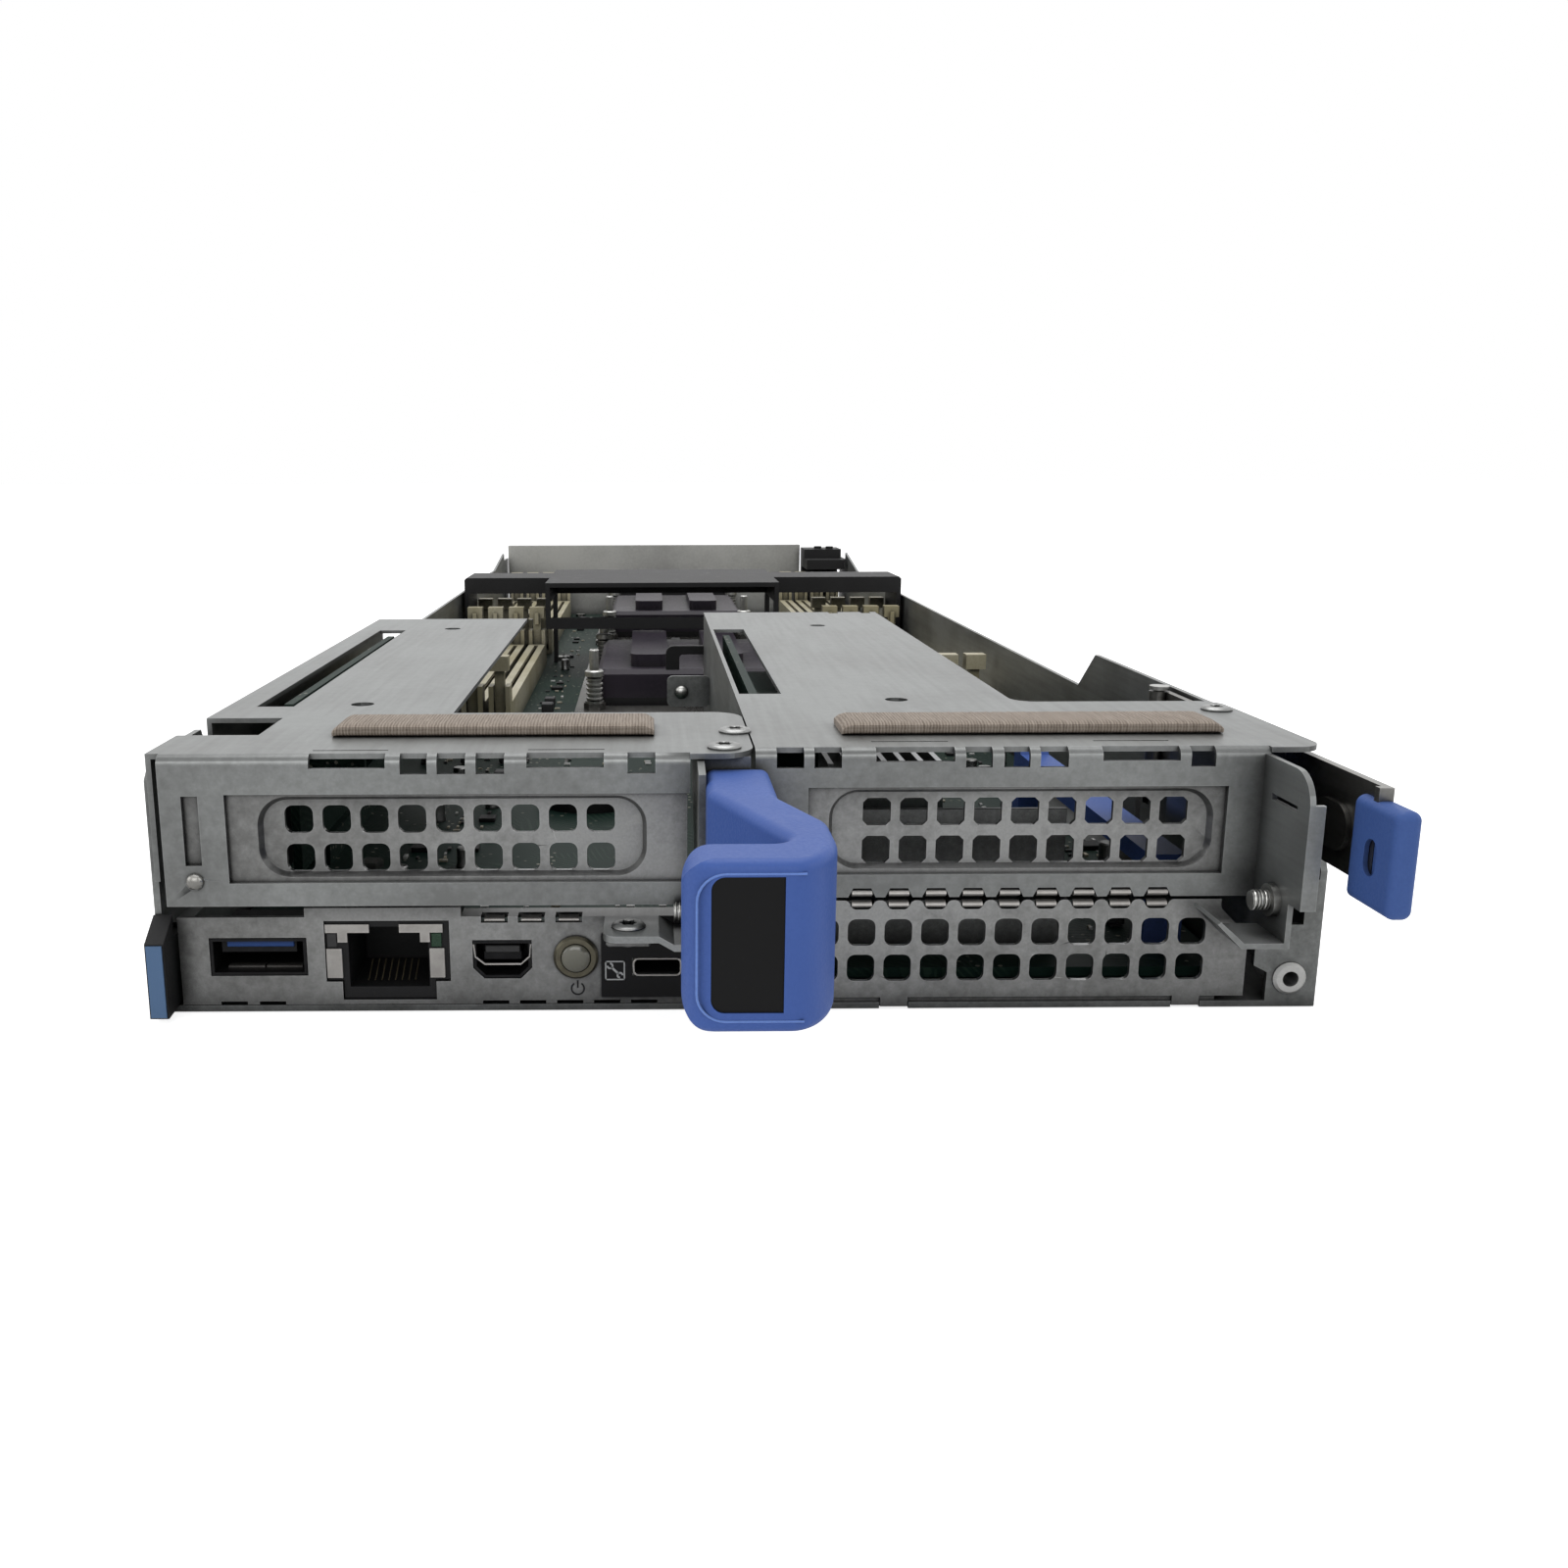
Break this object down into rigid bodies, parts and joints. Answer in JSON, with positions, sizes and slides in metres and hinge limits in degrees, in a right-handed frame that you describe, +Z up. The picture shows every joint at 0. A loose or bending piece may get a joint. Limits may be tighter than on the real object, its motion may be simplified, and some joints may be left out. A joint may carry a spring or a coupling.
{
  "type": "multi node server sled",
  "caption": "Half width server sled: shallow metal tray with riser covers, ports, perforated blanks, hooked pull handle, side latch, board, memory sockets and air shroud.",
  "frame": {"origin": "middle of the underside of the tray floor", "axes": "+X to the right seen from the port end, +Y from the port end to the rear, +Z up"},
  "size_m": [0.1753, 0.5753, 0.0415],
  "materials": {
    "galvanised": "satin",
    "panel_steel": "satin",
    "screw_steel": "polished",
    "latch_steel": "satin",
    "handle_blue": "matte",
    "label_bare": "semi-gloss",
    "label_black": "matte",
    "tag_blue": "matte",
    "gasket_fabric": "woven",
    "port_shell": "polished",
    "black_plastic": "matte",
    "cover_plastic": "glossy",
    "socket_cream": "matte",
    "board_green": "semi-gloss",
    "heat_sink": "satin",
    "bushing_white": "matte",
    "button_grey": "matte"
  },
  "bodies": {
    "sled": {"air_shroud": "black_plastic", "board_screws": "screw_steel", "bolsters": "latch_steel", "bracket_screw": "screw_steel", "button_bezel": "button_grey", "button_switch": "black_plastic", "card_retainer": "handle_blue", "cell_holder": "black_plastic", "chipset_heat_sink": "heat_sink", "coin_cell": "screw_steel", "cover_screws": "screw_steel", "display_port": "port_shell", "frame_screws": "screw_steel", "front_memory_sockets": "socket_cream", "guide_bushing": "bushing_white", "handle_bracket": "panel_steel", "handle_label": "label_bare", "io_panel": "panel_steel", "latch_bracket": "galvanised", "latch_pin": "screw_steel", "latch_spring": "screw_steel", "left_gasket": "gasket_fabric", "left_riser_card": "board_green", "left_riser_cover": "galvanised", "left_slot_blank": "panel_steel", "mezzanine_blank": "panel_steel", "motherboard": "board_green", "network_port": "black_plastic", "power_connector": "black_plastic", "processor_sockets": "black_plastic", "pull_handle": "handle_blue", "rear_memory_sockets": "socket_cream", "rear_wall": "galvanised", "right_gasket": "gasket_fabric", "right_riser_card": "board_green", "right_riser_cover": "galvanised", "right_slot_blank": "panel_steel", "service_label": "label_black", "service_port": "port_shell", "signal_connector": "black_plastic", "socket_covers": "cover_plastic", "standoffs": "screw_steel", "tag_guide": "galvanised", "tray": "galvanised", "usb_port": "port_shell"},
    "latch": {"latch_arm": "latch_steel", "latch_cap": "handle_blue"},
    "tag": {"tag_body": "black_plastic", "tag_label": "tag_blue"},
    "button": {"power_button": "button_grey"},
    "front_left_latches_near_body": {"front_left_latches_near": "socket_cream"},
    "front_left_latches_far_body": {"front_left_latches_far": "socket_cream"},
    "front_right_latches_near_body": {"front_right_latches_near": "socket_cream"},
    "front_right_latches_far_body": {"front_right_latches_far": "socket_cream"},
    "rear_left_latches_near_body": {"rear_left_latches_near": "socket_cream"},
    "rear_left_latches_far_body": {"rear_left_latches_far": "socket_cream"},
    "rear_right_latches_near_body": {"rear_right_latches_near": "socket_cream"},
    "rear_right_latches_far_body": {"rear_right_latches_far": "socket_cream"}
  },
  "joints": [
    {"name": "latch_hinge", "type": "hinge", "parent": "sled", "child": "latch", "pos_m": [0.0834, -0.201, 0.0313], "axis": [0, 0, 1], "range_deg": [-2.6, 0], "stiffness_Nm_per_rad": 0.4, "springref_deg": 2.86},
    {"name": "tag_slide", "type": "slide", "parent": "sled", "child": "tag", "axis": [0, -1, 0], "range_m": [0, 0.04]},
    {"name": "button_press", "type": "slide", "parent": "sled", "child": "button", "axis": [0, 1, 0], "range_m": [0, 0.001], "stiffness_N_per_m": 900, "springref_m": -0.0006},
    {"name": "front_left_latches_near_hinge", "type": "hinge", "parent": "sled", "child": "front_left_latches_near_body", "pos_m": [-0.0681, -0.067, 0.0094], "axis": [1, 0, 0], "range_deg": [0, 30]},
    {"name": "front_left_latches_far_hinge", "type": "hinge", "parent": "sled", "child": "front_left_latches_far_body", "pos_m": [-0.0681, 0.07, 0.0094], "axis": [1, 0, 0], "range_deg": [-30, 0]},
    {"name": "front_right_latches_near_hinge", "type": "hinge", "parent": "sled", "child": "front_right_latches_near_body", "pos_m": [0.068, -0.067, 0.0094], "axis": [1, 0, 0], "range_deg": [0, 30]},
    {"name": "front_right_latches_far_hinge", "type": "hinge", "parent": "sled", "child": "front_right_latches_far_body", "pos_m": [0.068, 0.07, 0.0094], "axis": [1, 0, 0], "range_deg": [-30, 0]},
    {"name": "rear_left_latches_near_hinge", "type": "hinge", "parent": "sled", "child": "rear_left_latches_near_body", "pos_m": [-0.0681, 0.1065, 0.0094], "axis": [1, 0, 0], "range_deg": [0, 30]},
    {"name": "rear_left_latches_far_hinge", "type": "hinge", "parent": "sled", "child": "rear_left_latches_far_body", "pos_m": [-0.0681, 0.2435, 0.0094], "axis": [1, 0, 0], "range_deg": [-30, 0]},
    {"name": "rear_right_latches_near_hinge", "type": "hinge", "parent": "sled", "child": "rear_right_latches_near_body", "pos_m": [0.068, 0.1065, 0.0094], "axis": [1, 0, 0], "range_deg": [0, 30]},
    {"name": "rear_right_latches_far_hinge", "type": "hinge", "parent": "sled", "child": "rear_right_latches_far_body", "pos_m": [0.068, 0.2435, 0.0094], "axis": [1, 0, 0], "range_deg": [-30, 0]}
  ]
}
